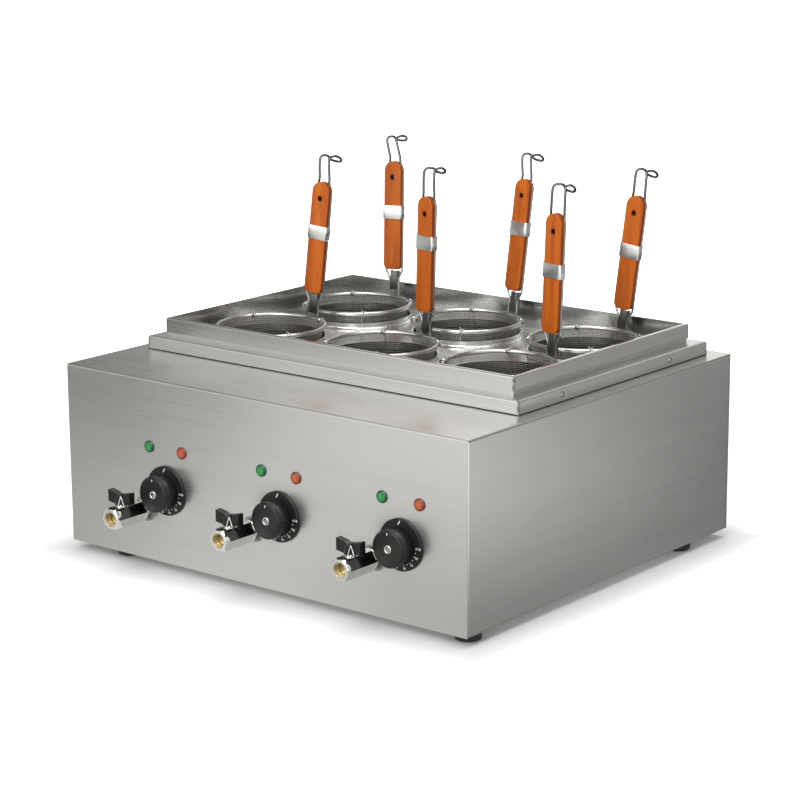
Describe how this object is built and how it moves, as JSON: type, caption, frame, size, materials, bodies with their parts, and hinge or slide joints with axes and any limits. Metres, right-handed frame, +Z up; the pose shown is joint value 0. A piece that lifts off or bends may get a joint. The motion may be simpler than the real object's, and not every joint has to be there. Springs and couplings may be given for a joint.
{
  "type": "counter-top pasta cooker",
  "caption": "Low stainless counter-top pasta cooker with boiling tanks under a lift-off tray, wire baskets with wooden handles, drain valves, thermostat knobs and lamps on its front.",
  "frame": {"origin": "on the worktop, below the middle of the overall footprint from the valve mouths to the cable gland", "axes": "+X to the operator's right, -Y towards the operator, +Z up"},
  "size_m": [0.63, 0.63, 0.4827],
  "materials": {
    "casing_steel": "brushed satin stainless sheet",
    "tank_steel": "smooth stainless sheet",
    "fastener_steel": "bright zinc",
    "foot_rubber": "matt black",
    "wire_steel": "bright wire",
    "heater_sheath": "dull dark sheath",
    "thermostat_case": "plain sheet",
    "dial_black": "satin black with white printed scale",
    "green_lens": "clear green",
    "orange_lens": "clear orange",
    "valve_chrome": "polished plating",
    "seat_white": "smooth white",
    "terminal_ivory": "moulded",
    "gland_black": "moulded",
    "knob_black": "satin black",
    "handle_black": "satin black",
    "mesh_steel": "woven wire cloth",
    "hoop_steel": "polished rod and wire",
    "grip_wood": "varnished orange-brown wood",
    "band_steel": "polished strip"
  },
  "bodies": {
    "casing": {"front_top_panel": "casing_steel", "left_side_panel": "casing_steel", "right_side_panel": "casing_steel", "rear_panel": "casing_steel", "base_plate": "casing_steel", "tank_collar": "casing_steel", "casing_screws": "fastener_steel", "feet": "foot_rubber", "tank_grids": "wire_steel", "heating_elements": "heater_sheath", "thermostats": "thermostat_case", "dial_plates": "dial_black", "green_lamps": "green_lens", "orange_lamps": "orange_lens", "drain_pipes": "tank_steel", "valve_bodies": "valve_chrome", "valve_seats": "seat_white", "valve_locknuts": "valve_chrome", "terminal_block": "terminal_ivory", "cable_gland": "gland_black", "left_tank": "tank_steel", "middle_tank": "tank_steel", "right_tank": "tank_steel"},
    "tray": {"basket_tray": "casing_steel"},
    "left_thermostat": {"left_knob": "knob_black", "left_thermostat_shaft": "fastener_steel"},
    "middle_thermostat": {"middle_knob": "knob_black", "middle_thermostat_shaft": "fastener_steel"},
    "right_thermostat": {"right_knob": "knob_black", "right_thermostat_shaft": "fastener_steel"},
    "left_valve": {"left_valve_handle": "handle_black", "left_valve_ball": "valve_chrome"},
    "middle_valve": {"middle_valve_handle": "handle_black", "middle_valve_ball": "valve_chrome"},
    "right_valve": {"right_valve_handle": "handle_black", "right_valve_ball": "valve_chrome"},
    "basket_1": {"basket_1_cup": "mesh_steel", "basket_1_frame": "hoop_steel", "basket_1_grip": "grip_wood", "basket_1_band": "band_steel"},
    "basket_2": {"basket_2_cup": "mesh_steel", "basket_2_frame": "hoop_steel", "basket_2_grip": "grip_wood", "basket_2_band": "band_steel"},
    "basket_3": {"basket_3_cup": "mesh_steel", "basket_3_frame": "hoop_steel", "basket_3_grip": "grip_wood", "basket_3_band": "band_steel"},
    "basket_4": {"basket_4_cup": "mesh_steel", "basket_4_frame": "hoop_steel", "basket_4_grip": "grip_wood", "basket_4_band": "band_steel"},
    "basket_5": {"basket_5_cup": "mesh_steel", "basket_5_frame": "hoop_steel", "basket_5_grip": "grip_wood", "basket_5_band": "band_steel"},
    "basket_6": {"basket_6_cup": "mesh_steel", "basket_6_frame": "hoop_steel", "basket_6_grip": "grip_wood", "basket_6_band": "band_steel"}
  },
  "joints": [
    {"name": "tray_lift", "type": "slide", "parent": "casing", "child": "tray", "axis": [0, 0, 1], "range_m": [0, 0.06]},
    {"name": "left_knob_turn", "type": "hinge", "parent": "casing", "child": "left_thermostat", "pos_m": [-0.1465, -0.253, 0.1055], "axis": [0, 1, 0], "range_deg": [0, 270]},
    {"name": "middle_knob_turn", "type": "hinge", "parent": "casing", "child": "middle_thermostat", "pos_m": [0.0375, -0.253, 0.1055], "axis": [0, 1, 0], "range_deg": [0, 270]},
    {"name": "right_knob_turn", "type": "hinge", "parent": "casing", "child": "right_thermostat", "pos_m": [0.2215, -0.253, 0.1055], "axis": [0, 1, 0], "range_deg": [0, 270]},
    {"name": "left_valve_turn", "type": "hinge", "parent": "casing", "child": "left_valve", "pos_m": [-0.184, -0.2945, 0.0765], "axis": [0, 0, 1], "range_deg": [-90, 0]},
    {"name": "middle_valve_turn", "type": "hinge", "parent": "casing", "child": "middle_valve", "pos_m": [-0.005, -0.2945, 0.0825], "axis": [0, 0, 1], "range_deg": [-90, 0]},
    {"name": "right_valve_turn", "type": "hinge", "parent": "casing", "child": "right_valve", "pos_m": [0.181, -0.2945, 0.0825], "axis": [0, 0, 1], "range_deg": [-90, 0]},
    {"name": "basket_1_lift", "type": "slide", "parent": "tray", "child": "basket_1", "axis": [0, 0, 1], "range_m": [0, 0.185]},
    {"name": "basket_2_lift", "type": "slide", "parent": "tray", "child": "basket_2", "axis": [0, 0, 1], "range_m": [0, 0.185]},
    {"name": "basket_3_lift", "type": "slide", "parent": "tray", "child": "basket_3", "axis": [0, 0, 1], "range_m": [0, 0.185]},
    {"name": "basket_4_lift", "type": "slide", "parent": "tray", "child": "basket_4", "axis": [0, 0, 1], "range_m": [0, 0.185]},
    {"name": "basket_5_lift", "type": "slide", "parent": "tray", "child": "basket_5", "axis": [0, 0, 1], "range_m": [0, 0.185]},
    {"name": "basket_6_lift", "type": "slide", "parent": "tray", "child": "basket_6", "axis": [0, 0, 1], "range_m": [0, 0.185]}
  ]
}
